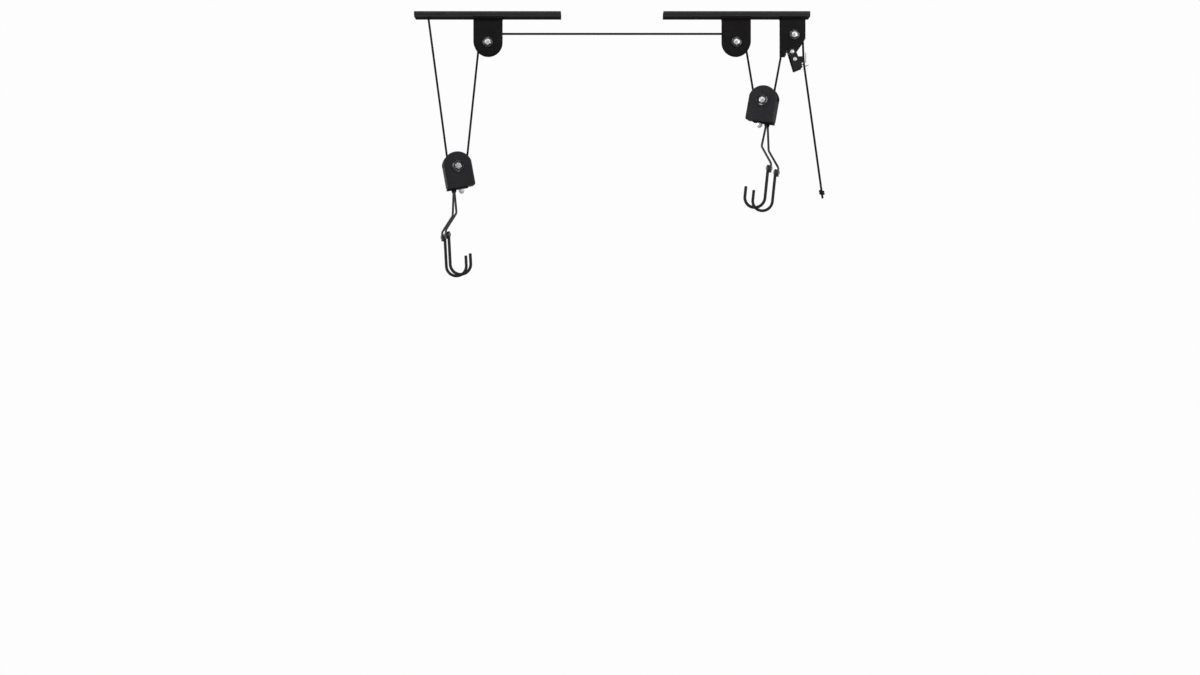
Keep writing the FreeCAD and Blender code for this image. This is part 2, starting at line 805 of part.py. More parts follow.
def cam_jaw():
    # the toothed face stands beside the rope that comes up from the front block
    rope_top = on_circle(lock_wheel, lock_in)
    down = (on_circle(front_block_wheel, front_out) - rope_top).normalize()
    side = point(-down.z, 0, down.x).normalize()
    first = rope_top + down * ((-cam_top_drop - rope_top.z) / down.z)
    first = first + side * (rope_radius + cam_rope_gap)
    steps = []
    for tooth in range(tooth_count):
        valley = first + down * ((tooth + tooth_valley_share) * tooth_pitch) + side * tooth_depth
        tip = first + down * ((tooth + 1) * tooth_pitch)
        steps.append((valley.x, valley.z))
        steps.append((tip.x, tip.z))
    for angle in (math.radians(cam_low_angle), math.radians(cam_high_angle)):
        x = pivot_x + cam_boss_radius * math.cos(angle)
        steps.append((x, pivot_z + cam_boss_radius * math.sin(angle)))
    half = cam_thickness / 2
    shape = plate((first.x, first.z), steps, -half, half)
    for x, z, radius in ((pivot_x, pivot_z, cam_boss_radius), (pin_x, pin_z, cam_tail_radius)):
        shape = shape.fuse(cylinder(radius, point(x, -half, z), point(x, half, z)))
    across = point(-lever_pin_z, 0, lever_pin_x).normalize() * cam_tail_radius
    link = [(pivot_x - across.x, pivot_z - across.z), (pin_x - across.x, pin_z - across.z)]
    link.append((pin_x + across.x, pin_z + across.z))
    shape = shape.fuse(plate((pivot_x + across.x, pivot_z + across.z), link, -half, half))
    for x, z in ((pivot_x, pivot_z), (pin_x, pin_z)):
        shape = shape.cut(cylinder(pin_hole, point(x, -half, z), point(x, half, z)))
    return shape.removeSplitter()


save("cam_jaw", cam_jaw())

# Rope guide: one bent wire under the arm, round the rope's tail, with a finger beside it
wire_z = pivot_z + arm_bottom - wire_radius - running_clearance
guide_points = [
    point(pivot_x + finger_tip_reach, wire_side, wire_z - finger_tip_drop),
    point(pivot_x + finger_low_reach, wire_side, wire_z - finger_low_drop),
    point(pivot_x + finger_start_reach, wire_side, wire_z - finger_start_drop),
    point(pivot_x + wire_cross_reach, wire_side, wire_z),
    point(pivot_x + wire_cross_reach, -wire_side, wire_z),
    point(pivot_x + loop_reach, -wire_side, wire_z - loop_drop),
    point(pivot_x + loop_reach, -wire_side, wire_z + loop_rise),
]
guide_bends = [wire_bend] * (len(guide_points) - 2)
save("rope_guide", bent_rod(guide_points, guide_bends, wire_radius))


# Lock spring: a coil round the pivot pin with one leg on a pulley spacer and one on the lever
def turned_arc(start, heading, end):
    # the arc that leaves start along heading and ends at end
    chord = end - start
    sag = heading - chord * (heading.dot(chord) / chord.dot(chord))
    if sag.Length < tiny:
        return Part.makeLine(start, end)
    lean = heading.getAngle(chord)
    middle = (start + end) * 0.5 + sag.normalize() * (chord.Length / 2 * math.tan(lean / 2))
    return Part.Arc(start, middle, end).toShape()


def biarc(start, start_heading, end, end_heading):
    # two arcs that join smoothly and keep the headings at both ends
    chord = end - start
    total = start_heading + end_heading
    spread = 2 * (1 - start_heading.dot(end_heading))
    along = chord.dot(total)
    reach = (math.sqrt(along**2 + spread * chord.dot(chord)) - along) / spread
    joint = (start + end + (start_heading - end_heading) * reach) * 0.5
    first = turned_arc(start, start_heading, joint)
    second = turned_arc(end, end_heading * -1, joint)
    return [first, second]


def leg_angle(target, distance, outward):
    # the coil angle whose tangent passes the target at a distance
    away = target - point(pivot_x, 0, pivot_z)
    length = math.hypot(away.x, away.z)
    return math.atan2(away.z, away.x) + outward * math.acos((spring_coil_radius + distance) / length)


def least_self_gap(wire, radius, skip):
    # the least space between stretches of a wire that lie further apart along it than skip
    places = wire.discretize(Distance=spring_sample)
    apart = math.ceil(skip / spring_sample)
    least = math.inf
    for number, place in enumerate(places):
        for other in places[number + apart:]:
            least = min(least, place.distanceToPoint(other))
    return least - 2 * radius


def lock_spring():
    upper_target = point(lock_axle_x, 0, lock_axle_z)
    upper_reach = pulley_spacer_radius + spring_wire_radius + spring_rest_gap
    lower_target = point(pin_x, 0, pivot_z + (arm_top + arm_bottom) / 2)
    lower_reach = (arm_top - arm_bottom) / 2 + spring_wire_radius + spring_rest_gap
    start_angle = leg_angle(upper_target, upper_reach, -1)
    end_angle = leg_angle(lower_target, lower_reach, 1) - full * spring_turns
    sweep = start_angle - end_angle
    steps = math.ceil(sweep / quarter)
    rise = spring_pitch * sweep / full
    top = lock_gap / 2 - spring_wire_radius - spring_rest_gap
    places = []
    headings = []
    for step in range(steps + 1):
        share = step / steps
        angle = start_angle - sweep * share
        x = pivot_x + spring_coil_radius * math.cos(angle)
        z = pivot_z + spring_coil_radius * math.sin(angle)
        slope = 0 if step in (0, steps) else -rise / sweep / spring_coil_radius
        places.append(point(x, top - rise * share, z))
        headings.append(point(math.sin(angle), slope, -math.cos(angle)).normalize())
    edges = [Part.makeLine(places[0] - headings[0] * spring_upper_leg, places[0])]
    for step in range(steps):
        edges += biarc(places[step], headings[step], places[step + 1], headings[step + 1])
    edges.append(Part.makeLine(places[-1], places[-1] + headings[-1] * spring_lower_leg))
    edges = Part.__sortEdges__(edges)
    gap = least_self_gap(Part.Wire(edges), spring_wire_radius, math.pi * spring_coil_radius)
    print(f"lock_return_spring: turns {sweep / full:.2f}, least gap to itself {gap:.2f}")
    return swept(edges, spring_wire_radius)


save("lock_return_spring", lock_spring())


# Hanging block, drawn about its own axle: X towards the hook's side, Y along the axle
def housing_outline(inset):
    half = housing_half_width - inset
    dome = housing_dome_radius - inset
    low = inset - housing_drop
    corner = housing_inner_corner if inset else housing_corner
    shoulder = math.sqrt(dome**2 - half**2)
    steps = [(0, dome, half, shoulder)]
    steps.append((half, low + corner))
    steps.append(corner_arc(half - corner, low + corner, corner, -45, -90))
    steps.append((corner - half, low))
    steps.append(corner_arc(corner - half, low + corner, corner, -135, -180))
    return (-half, shoulder), steps


def housing_shell(side):
    # half of the housing: a cheek with a skirt that is open above the axle for the rope
    inner_face = housing_half_depth - housing_wall
    start, steps = housing_outline(0)
    shape = plate(start, steps, 0, housing_half_depth)
    far = [edge for edge in shape.Edges if edge.BoundBox.YMin > housing_half_depth - tiny]
    shape = shape.makeFillet(housing_round, far)
    seam = [edge for edge in shape.Edges if edge.BoundBox.YMax < tiny]
    shape = shape.makeChamfer(seam_chamfer, seam)
    start, steps = housing_outline(housing_wall)
    shape = shape.cut(plate(start, steps, 0, inner_face))
    wide = housing_half_width + cut_past
    high = housing_dome_radius + cut_past
    shape = shape.cut(box(-wide, wide, 0, inner_face, housing_opening_z, high))
    boss_end = pulley_half + pulley_side_gap
    shape = shape.fuse(cylinder(boss_radius, point(0, boss_end, 0), point(0, inner_face, 0)))
    ring_inner = block_washer_radius + ring_clearance
    ring_start = point(0, housing_half_depth, 0)
    ring_end = point(0, housing_half_depth + ring_height, 0)
    shape = shape.fuse(tube(ring_inner + ring_width, ring_inner, ring_start, ring_end))
    shape = shape.cut(cylinder(bolt_hole, point(0, 0, 0), point(0, housing_half_depth, 0)))
    hanger_hole = cylinder(bolt_hole, point(0, 0, -housing_drop), point(0, 0, housing_wall - housing_drop))
    shape = shape.cut(hanger_hole).removeSplitter()
    if side < 0:
        shape = shape.mirror(point(0, 0, 0), along_y)
    return shape


bar_z = -housing_drop - hanger_sheet - hook_radius - running_clearance


def hanger_plate():
    # a strip under the housing with a rolled eye for the hook's cross bar
    top = -housing_drop
    low = top - hanger_sheet
    half = hanger_half_width
    shape = box(-hanger_back, hanger_front, -half, half, low, top)
    inner = hook_radius + running_clearance
    start = point(hook_offset, -eye_half_width, bar_z)
    end = point(hook_offset, eye_half_width, bar_z)
    shape = shape.fuse(cylinder(inner + eye_wall, start, end))
    shape = shape.common(box(-hanger_back, hanger_front, -half, half, bar_z - inner - eye_wall, top))
    shape = shape.cut(cylinder(inner, start, end))
    return shape.cut(cylinder(bolt_hole, point(0, 0, low), point(0, 0, top))).removeSplitter()


def upright(shape, z):
    # a bolt or nut that was drawn along Y, stood along -Z with its Y 0 at height z
    copy = shape.copy()
    copy.rotate(point(0, 0, 0), along_x, -90)
    copy.translate(point(0, 0, z))
    return copy


def hanger_bolt():
    seat = housing_wall - housing_drop
    shank = housing_wall + hanger_sheet + nut_height
    head = hexagon(-bolt_head_height, 0, True, False)
    shape = head.fuse(cylinder(bolt_radius, point(0, 0, 0), point(0, shank, 0)))
    return upright(shape.removeSplitter(), seat)


def cap_nut():
    # a domed nut under the hanger plate
    cap = dome(hex_flats / 2 - cap_nut_inset, cap_nut_dome, nut_height)
    shape = hexagon(0, nut_height, False, True).fuse(cap)
    hole = cylinder(bolt_hole, point(0, 0, 0), point(0, nut_height + running_clearance, 0))
    return upright(shape.cut(hole), -housing_drop - hanger_sheet)


lap_out = shank_out + sleeve_radius + hook_radius + running_clearance
sleeve_round = sleeve_radius / 2
sleeve_end = sleeve_cap + sleeve_round
sleeve_top = -lap_top_drop - sleeve_top_gap


def hook_yoke():
    # the upper rod: a cross bar in the eye and two legs that end beside the lower rods
    legs = []
    for side in (-1, 1):
        points = [point(0, 0, 0), point(0, side * hook_bar_half, 0)]
        points.append(point(neck_out, side * neck_half, -neck_drop))
        points.append(point(lap_out, side * shank_half, -lap_top_drop))
        points.append(point(lap_out, side * shank_half, -lap_top_drop - lap_length))
        legs.append(bent_rod(points, [hook_bar_bend, hook_bend, hook_bend], hook_radius))
    return legs[0].fuse(legs[1]).removeSplitter()


def hook_shank(side, radius):
    # a shank that turns up in a round cup and ends at the hook's tip
    y = side * shank_half
    inner = shank_out - 2 * cup_radius
    low = -shank_bottom_drop - cup_radius
    points = [point(shank_out, y, sleeve_top - sleeve_end), point(shank_out, y, low)]
    points += [point(inner, y, low), point(inner, y, tip_rise - shank_bottom_drop)]
    return bent_rod(points, [cup_radius, cup_radius], radius)


def hook_sleeve(side):
    # a rubber sleeve over the whole shank, closed and rounded at both ends
    shape = hook_shank(side, sleeve_radius).cut(hook_shank(side, hook_radius + running_clearance))
    y = side * shank_half
    starts = [point(shank_out, y, sleeve_top - sleeve_end)]
    starts.append(point(shank_out - 2 * cup_radius, y, tip_rise - shank_bottom_drop))
    for start in starts:
        cap = cylinder(sleeve_radius, start, start + up * sleeve_end)
        rim = [edge for edge in cap.Edges if edge.BoundBox.ZMin > start.z + sleeve_cap]
        cap = cap.makeFillet(sleeve_round, [edge for edge in rim if len(edge.Vertexes) == 1])
        shape = shape.fuse(cap)
    return shape.removeSplitter()


def clip_outline(wall, z):
    # the outline round the sleeve and the rod beside it, at a distance from both
    large = sleeve_radius + wall
    small = hook_radius + wall
    lean = math.acos((large - small) / (lap_out - shank_out))
    far_x = shank_out + large * math.cos(lean)
    far_y = large * math.sin(lean)
    near_x = lap_out + small * math.cos(lean)
    near_y = small * math.sin(lean)
    steps = [(shank_out - large, 0, far_x, -far_y)]
    steps.append((near_x, -near_y))
    steps.append((lap_out + small, 0, near_x, near_y))
    edges = outline_edges((far_x, far_y), steps, lambda x, y: point(x, y, z))
    return Part.Face(Part.Wire(edges))


def hook_clip(side):
    # a pressed band that binds the yoke's leg to the sleeved shank
    low = sleeve_top - clip_start - clip_height
    band = clip_outline(clip_wall + running_clearance, low).extrude(up * clip_height)
    band = band.cut(clip_outline(running_clearance, low).extrude(up * clip_height))
    return moved(band, 0, side * shank_half, 0)


block_bush_half = pulley_half + pulley_side_gap - bush_end_gap
block_pieces = {
    "block_pulley": (False, [pulley()]),
    "block_bush": (False, [bush(block_bush_half)]),
    "block_front_shell": (True, [housing_shell(-1)]),
    "block_back_shell": (True, [housing_shell(1)]),
    "block_axle_bolt": (True, [axle_bolt(housing_half_depth)]),
    "block_axle_washers": (True, axle_washers(housing_half_depth, block_washer_radius)),
    "block_axle_nut": (True, [axle_nut(housing_half_depth)]),
    "hanger_plate": (True, [hanger_plate()]),
    "hanger_bolt": (True, [hanger_bolt()]),
    "hanger_cap_nut": (True, [cap_nut()]),
}
both = (-1, 1)
hook_pieces = {
    "hook_rods": [hook_yoke()] + [hook_shank(side, hook_radius) for side in both],
    "hook_sleeves": [hook_sleeve(side) for side in both],
    "hook_clips": [hook_clip(side) for side in both],
}
blocks = (
    ("rear", rear_block_wheel[0], 180 + rear_block_yaw, rear_hook_lean),
    ("front", front_block_wheel[0], -front_block_yaw, front_hook_lean),
)
for block, centre, yaw, lean in blocks:
    turn = FreeCAD.Rotation(up, yaw)
    tilt = turn.multiply(FreeCAD.Rotation(along_y, block_tilt))
    for piece, (tilted, shapes) in block_pieces.items():
        place = FreeCAD.Placement(centre, tilt if tilted else turn).toMatrix()
        save(f"{block}_{piece}", [shape.transformed(place, True) for shape in shapes])
    eye = centre + tilt.multVec(point(hook_offset, 0, bar_z))
    hang = FreeCAD.Placement(eye, turn.multiply(FreeCAD.Rotation(along_y, lean))).toMatrix()
    for piece, shapes in hook_pieces.items():
        save(f"{block}_{piece}", [shape.transformed(hang, True) for shape in shapes])

os.makedirs("parts", exist_ok=True)
for name, group in solids.items():
    whole = group[0] if len(group) == 1 else Part.makeCompound(group)
    whole.exportStep(f"parts/{name}.step")
    print(f"{name}: {len(whole.Solids)} solids, {whole.Volume / 1000:.2f} cm3, valid {whole.isValid()}")
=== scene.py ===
import bpy
import json
import math
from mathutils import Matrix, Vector


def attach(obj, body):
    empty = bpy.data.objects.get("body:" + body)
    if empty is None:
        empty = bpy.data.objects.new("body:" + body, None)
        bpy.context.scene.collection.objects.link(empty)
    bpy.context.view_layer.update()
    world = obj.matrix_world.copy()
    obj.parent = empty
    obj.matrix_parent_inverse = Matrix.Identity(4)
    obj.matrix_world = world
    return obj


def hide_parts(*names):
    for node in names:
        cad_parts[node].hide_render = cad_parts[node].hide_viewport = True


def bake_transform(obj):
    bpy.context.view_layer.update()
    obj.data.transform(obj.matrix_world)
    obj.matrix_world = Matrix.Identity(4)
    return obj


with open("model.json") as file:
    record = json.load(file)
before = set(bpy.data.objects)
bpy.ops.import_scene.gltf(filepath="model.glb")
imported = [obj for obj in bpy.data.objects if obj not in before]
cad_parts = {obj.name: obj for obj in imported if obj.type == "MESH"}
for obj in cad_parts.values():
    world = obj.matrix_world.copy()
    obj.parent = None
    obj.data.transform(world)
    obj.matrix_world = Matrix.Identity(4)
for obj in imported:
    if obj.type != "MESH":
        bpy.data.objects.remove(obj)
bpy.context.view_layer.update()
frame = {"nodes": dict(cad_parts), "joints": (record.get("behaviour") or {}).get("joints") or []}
scene = bpy.context.scene
joints = {joint["name"]: joint for joint in frame["joints"]}
bothSides = ("rear", "front")
up = Vector((0, 0, 1))
fullTurn = 2 * math.pi
print("frame loaded:", len(frame["nodes"]), "nodes")


def feed(tree, socket, value):
    # links another node's output, or sets a plain value
    if isinstance(value, bpy.types.NodeSocket):
        tree.links.new(value, socket)
    else:
        socket.default_value = value


def mathNode(tree, operation, first, second=None, clamp=False):
    node = tree.nodes.new("ShaderNodeMath")
    node.operation = operation
    node.use_clamp = clamp
    feed(tree, node.inputs[0], first)
    if second is not None:
        feed(tree, node.inputs[1], second)
    return node.outputs[0]


# camera and light

cameraSetup = {
    "place": (-0.3226, -3.35, -0.7698),
    "frameWidth": 2.844,  # metres across the picture at the rope's plane
    "sensor": 36.0,
    "clip": (0.05, 60),
}

stageSetup = {
    "floorHeight": -2.25,
    "halfWidth": 6.0,
    "near": -4.5,
    "far": 2.6,
    "sweepRadius": 1.2,
    "sweepSteps": 16,
    "top": 3.2,
    "paper": (0.26, 0.26, 0.26, 1),
    "paperRough": 0.9,
    "glow": 0.98,  # how white the backdrop and the world behind it are to the camera
    "glossyGlow": 0.35,  # how white the backdrop is in reflections
}


def makeCamera():
    data = bpy.data.cameras.new("photoCamera")
    data.sensor_width = cameraSetup["sensor"]
    data.lens = cameraSetup["sensor"] * -cameraSetup["place"][1] / cameraSetup["frameWidth"]
    data.clip_start, data.clip_end = cameraSetup["clip"]
    camera = bpy.data.objects.new("photoCamera", data)
    camera.location = cameraSetup["place"]
    camera.rotation_euler = (math.pi / 2, 0, 0)
    scene.collection.objects.link(camera)
    scene.camera = camera


def makeLight(name, place, target, size, power):
    data = bpy.data.lights.new(name, "AREA")
    data.shape = "RECTANGLE"
    data.size, data.size_y = size
    data.energy = power
    light = bpy.data.objects.new(name, data)
    light.location = place
    light.rotation_euler = (Vector(target) - Vector(place)).to_track_quat("-Z", "Y").to_euler()
    scene.collection.objects.link(light)


lightSetup = {
    "target": (-0.3, 0, -0.25),
    "boxes": (  # name, place, width and height, power
        ("leftBox", (-2.7, -1.9, 0.5), (1.5, 2.4), 16),
        ("sideBox", (-3.2, 0.2, -0.2), (1.2, 2.0), 44),
        ("rightBox", (2.3, -1.8, 0.2), (1.2, 2.2), 44),
        ("lowStrip", (-0.3, -1.75, -1.95), (2.6, 0.7), 3),
        ("topStrip", (-0.3, -1.7, 1.4), (3.0, 0.5), 16),
        ("backRim", (-0.3, 1.5, 1.2), (3.0, 0.8), 12),
    ),
    "roomColour": (0.9, 0.92, 0.95, 1),
    "room": 0.14,
}


def makeLights():
    for name, place, size, power in lightSetup["boxes"]:
        makeLight(name, place, lightSetup["target"], size, power)


def seenDirectly(tree, path):
    # rays from the camera, also through clear things
    return mathNode(tree, "MAXIMUM", path.outputs["Is Camera Ray"], path.outputs["Is Transmission Ray"])


def makeWorld():
    world = bpy.data.worlds.new("studio")
    scene.world = world
    world.use_nodes = True
    nodes = world.node_tree.nodes
    links = world.node_tree.links
    shade = nodes["Background"]
    shade.inputs["Color"].default_value = lightSetup["roomColour"]
    shade.inputs["Strength"].default_value = lightSetup["room"]
    white = nodes.new("ShaderNodeBackground")
    white.inputs["Color"].default_value = (1, 1, 1, 1)
    white.inputs["Strength"].default_value = stageSetup["glow"]
    path = nodes.new("ShaderNodeLightPath")
    mix = nodes.new("ShaderNodeMixShader")
    links.new(seenDirectly(world.node_tree, path), mix.inputs["Fac"])
    links.new(shade.outputs["Background"], mix.inputs[1])
    links.new(white.outputs["Background"], mix.inputs[2])
    links.new(mix.outputs["Shader"], nodes["World Output"].inputs["Surface"])


def makeStage():
    stage = stageSetup
    low = stage["floorHeight"]
    radius = stage["sweepRadius"]
    profile = [(stage["near"], low)]
    for step in range(stage["sweepSteps"] + 1):
        angle = math.pi / 2 * step / stage["sweepSteps"]
        along = stage["far"] - radius + radius * math.sin(angle)
        profile.append((along, low + radius * (1 - math.cos(angle))))
    profile.append((stage["far"], stage["top"]))
    points = []
    faces = []
    for number, (y, z) in enumerate(profile):
        points += [(-stage["halfWidth"], y, z), (stage["halfWidth"], y, z)]
        if number:
            base = 2 * number
            faces.append((base - 2, base - 1, base + 1, base))
    mesh = bpy.data.meshes.new("backdrop")
    mesh.from_pydata(points, [], faces)
    mesh.polygons.foreach_set("use_smooth", [True] * len(faces))
    backdrop = bpy.data.objects.new("backdrop", mesh)
    scene.collection.objects.link(backdrop)
    paper = bpy.data.materials.new("backdropPaper")
    paper.use_nodes = True
    nodes = paper.node_tree.nodes
    links = paper.node_tree.links
    diffuse = nodes["Principled BSDF"]
    diffuse.inputs["Base Color"].default_value = stage["paper"]
    diffuse.inputs["Roughness"].default_value = stage["paperRough"]
    glow = nodes.new("ShaderNodeEmission")
    path = nodes.new("ShaderNodeLightPath")
    mix = nodes.new("ShaderNodeMixShader")
    whole = mathNode(paper.node_tree, "MULTIPLY", seenDirectly(paper.node_tree, path), stage["glow"])
    part = mathNode(paper.node_tree, "MULTIPLY", path.outputs["Is Glossy Ray"], stage["glossyGlow"])
    links.new(mathNode(paper.node_tree, "MAXIMUM", whole, part), mix.inputs["Fac"])
    links.new(diffuse.outputs["BSDF"], mix.inputs[1])
    links.new(glow.outputs["Emission"], mix.inputs[2])
    links.new(mix.outputs["Shader"], nodes["Material Output"].inputs["Surface"])
    mesh.materials.append(paper)


scene.view_settings.view_transform = "Standard"
makeCamera()
makeLights()
makeWorld()
makeStage()
print("camera, light and backdrop made")


# shared shader effects

def newGroup(name, inputs, outputs):
    group = bpy.data.node_groups.new(name, "ShaderNodeTree")
    for label, kind, value in inputs:
        socket = group.interface.new_socket(label, in_out="INPUT", socket_type=kind)
        socket.default_value = value
    for label, kind in outputs:
        group.interface.new_socket(label, in_out="OUTPUT", socket_type=kind)
    start = group.nodes.new("NodeGroupInput")
    end = group.nodes.new("NodeGroupOutput")
    return group, start, end


def noiseNode(tree, place, scale, detail, rough=0.55):
    node = tree.nodes.new("ShaderNodeTexNoise")
    node.inputs["Detail"].default_value = detail
    node.inputs["Roughness"].default_value = rough
    tree.links.new(place, node.inputs["Vector"])
    feed(tree, node.inputs["Scale"], scale)
    return node.outputs["Fac"]


def rangeNode(tree, value, low, high, outLow, outHigh):
    node = tree.nodes.new("ShaderNodeMapRange")
    tree.links.new(value, node.inputs["Value"])
    for label, amount in (("From Min", low), ("From Max", high), ("To Min", outLow), ("To Max", outHigh)):
        node.inputs[label].default_value = amount
    return node.outputs["Result"]


def mixColour(tree, factor, first, second):
    node = tree.nodes.new("ShaderNodeMix")
    node.data_type = "RGBA"
    tree.links.new(factor, node.inputs["Factor"])
    feed(tree, node.inputs[6], first)  # sockets 6 and 7, and output 2, are the colour ones
    feed(tree, node.inputs[7], second)
    return node.outputs[2]


grainSetup = {"detail": 2.0, "patchDetail": 4.0}


def makeGrainGroup():
    # fine even grain of powder paint or moulded plastic, with slow patches in its gloss
    group, start, end = newGroup(
        "surfaceGrain",
        [
            ("Grain Scale", "NodeSocketFloat", 2600.0),
            ("Patch Scale", "NodeSocketFloat", 38.0),
            ("Base Roughness", "NodeSocketFloat", 0.45),
            ("Roughness Spread", "NodeSocketFloat", 0.12),
        ],
        [("Grain", "NodeSocketFloat"), ("Roughness", "NodeSocketFloat"), ("Patch", "NodeSocketFloat")],
    )
    place = group.nodes.new("ShaderNodeTexCoord").outputs["Object"]
    grain = noiseNode(group, place, start.outputs["Grain Scale"], grainSetup["detail"])
    patch = noiseNode(group, place, start.outputs["Patch Scale"], grainSetup["patchDetail"])
    swing = mathNode(group, "MULTIPLY", mathNode(group, "SUBTRACT", patch, 0.5), 2.0)
    spread = mathNode(group, "MULTIPLY", start.outputs["Roughness Spread"], swing)
    rough = mathNode(group, "ADD", start.outputs["Base Roughness"], spread, True)
    group.links.new(grain, end.inputs["Grain"])
    group.links.new(rough, end.inputs["Roughness"])
    group.links.new(patch, end.inputs["Patch"])
    return group


scuffSetup = {
    "turn": (0.3, 0.5, 0.9),
    "stretch": (1.0, 1.0, 9.0),
    "streakDetail": 5.0,
    "streakRough": 0.65,
    "broadScale": 17.0,
    "broadDetail": 2.0,
    "range": (0.33, 0.42),  # where the noise starts and ends its rise to a full mark
}


def makeScuffGroup():
    # thin rubbed marks, where paint has worn or dust has settled
    group, start, end = newGroup(
        "rubbedMarks",
        [("Mark Scale", "NodeSocketFloat", 55.0), ("Amount", "NodeSocketFloat", 0.3)],
        [("Marks", "NodeSocketFloat")],
    )
    place = group.nodes.new("ShaderNodeTexCoord").outputs["Object"]
    stretch = group.nodes.new("ShaderNodeMapping")
    stretch.inputs["Rotation"].default_value = scuffSetup["turn"]
    stretch.inputs["Scale"].default_value = scuffSetup["stretch"]
    group.links.new(place, stretch.inputs["Vector"])
    streak = noiseNode(
        group, stretch.outputs["Vector"], start.outputs["Mark Scale"],
        scuffSetup["streakDetail"], scuffSetup["streakRough"],
    )
    broad = noiseNode(group, place, scuffSetup["broadScale"], scuffSetup["broadDetail"])
    both = mathNode(group, "MULTIPLY", streak, broad)
    marks = rangeNode(group, both, *scuffSetup["range"], 0.0, 1.0)
    group.links.new(mathNode(group, "MULTIPLY", marks, start.outputs["Amount"]), end.inputs["Marks"])
    return group


edgeSetup = {
    "samples": 6,
    "range": (0.99, 0.85),  # how far the softened normal turns before it counts as an edge
}


def makeEdgeGroup():
    # normals that turn softly over sharp edges, and a mask of those edges
    group, start, end = newGroup(
        "softEdges",
        [("Edge Radius", "NodeSocketFloat", 0.0005)],
        [("Normal", "NodeSocketVector"), ("Edge", "NodeSocketFloat")],
    )
    bevel = group.nodes.new("ShaderNodeBevel")
    bevel.samples = edgeSetup["samples"]
    group.links.new(start.outputs["Edge Radius"], bevel.inputs["Radius"])
    surface = group.nodes.new("ShaderNodeNewGeometry")
    match = group.nodes.new("ShaderNodeVectorMath")
    match.operation = "DOT_PRODUCT"
    group.links.new(bevel.outputs["Normal"], match.inputs[0])
    group.links.new(surface.outputs["Normal"], match.inputs[1])
    group.links.new(bevel.outputs["Normal"], end.inputs["Normal"])
    edge = rangeNode(group, match.outputs["Value"], *edgeSetup["range"], 0.0, 1.0)
    group.links.new(edge, end.inputs["Edge"])
    return group


grainGroup = makeGrainGroup()
scuffGroup = makeScuffGroup()
edgeGroup = makeEdgeGroup()


def newMaterial(name):
    material = bpy.data.materials.new(name)
    material.use_nodes = True
    shader = material.node_tree.nodes["Principled BSDF"]
    return material, material.node_tree, shader


def placeGroup(tree, group, values):
    node = tree.nodes.new("ShaderNodeGroup")
    node.node_tree = group
    for label, value in values.items():
        node.inputs[label].default_value = value
    return node


def addBump(tree, shader, height, strength, distance, normal=None):
    bump = tree.nodes.new("ShaderNodeBump")
    if normal is not None:
        tree.links.new(normal, bump.inputs["Normal"])
    bump.inputs["Strength"].default_value = strength
    bump.inputs["Distance"].default_value = distance
    tree.links.new(height, bump.inputs["Height"])
    tree.links.new(bump.outputs["Normal"], shader.inputs["Normal"])


paintLooks = {
    "railPaint": {
        "colour": (0.020, 0.0176, 0.0176, 1), "patchColour": (0.028, 0.0245, 0.024, 1),
        "markAndEdgeHighlightColour": (0.07, 0.066, 0.064, 1), "marks": 0.25, "rough": 0.34, "spread": 0.10,
        "grain": 2200.0, "bump": 0.10, "edge": 0.0005, "shine": 0.5, "rim": 0.001,
    },
    "bracketPaint": {
        "colour": (0.0046, 0.0036, 0.0033, 1), "patchColour": (0.0095, 0.0078, 0.0072, 1),
        "markAndEdgeHighlightColour": (0.06, 0.056, 0.054, 1), "marks": 0.22, "rough": 0.40, "spread": 0.10,
        "grain": 2200.0, "bump": 0.12, "edge": 0.0004, "shine": 0.24, "rim": 0.004,
    },
    "leverPaint": {
        "colour": (0.009, 0.009, 0.009, 1), "patchColour": (0.019, 0.019, 0.019, 1),
        "markAndEdgeHighlightColour": (0.12, 0.12, 0.12, 1), "marks": 0.45, "rough": 0.46, "spread": 0.15,
        "grain": 1300.0, "bump": 0.30, "edge": 0.0004, "shine": 0.32, "rim": 0.004,
    },
    "armPaint": {
        "colour": (0.004, 0.004, 0.004, 1), "patchColour": (0.008, 0.008, 0.008, 1),
        "markAndEdgeHighlightColour": (0.08, 0.08, 0.08, 1), "marks": 0.30, "rough": 0.48, "spread": 0.10,
        "grain": 1300.0, "bump": 0.20, "edge": 0.0004, "shine": 0.4, "rim": 0.004,
    },
    "housingPlastic": {
        "colour": (0.014, 0.0143, 0.0165, 1), "patchColour": (0.023, 0.0235, 0.027, 1),
        "markAndEdgeHighlightColour": (0.07, 0.07, 0.08, 1), "marks": 0.20, "rough": 0.46, "spread": 0.10,
        "grain": 1500.0, "bump": 0.22, "edge": 0.0005, "shine": 0.36, "rim": 0.12,
    },
    "wheelPlastic": {
        "colour": (0.020, 0.020, 0.020, 1), "patchColour": (0.030, 0.030, 0.030, 1),
        "markAndEdgeHighlightColour": (0.09, 0.09, 0.09, 1), "marks": 0.30, "rough": 0.42, "spread": 0.12,
        "grain": 1800.0, "bump": 0.10, "edge": 0.0004, "shine": 0.5, "rim": 0.004,
    },
    "hookPaint": {
        "colour": (0.016, 0.016, 0.017, 1), "patchColour": (0.028, 0.028, 0.029, 1),
        "markAndEdgeHighlightColour": (0.14, 0.14, 0.14, 1), "marks": 0.35, "rough": 0.34, "spread": 0.12,
        "grain": 2200.0, "bump": 0.10, "edge": 0.0003, "shine": 0.7, "rim": 0.004,
    },
    "sleeveRubber": {
        "colour": (0.007, 0.007, 0.007, 1), "patchColour": (0.013, 0.013, 0.013, 1),
        "markAndEdgeHighlightColour": (0.04, 0.04, 0.04, 1), "marks": 0.35, "rough": 0.62, "spread": 0.12,
        "grain": 900.0, "bump": 0.20, "edge": 0.0003, "shine": 0.4, "rim": 0.004,
    },
}


paintSetup = {
    "bumpDepth": 0.0004,
    "edgeWearAndHighlightPatch": (0.4, 0.65),  # edges are lightened more in some patches, as worn paint and as a painted highlight
    "edgeWearAndHighlightShare": (0.1, 0.7),
    "aslant": (0.35, 0.72),  # shine falls to rim over this turn away from the eye
}


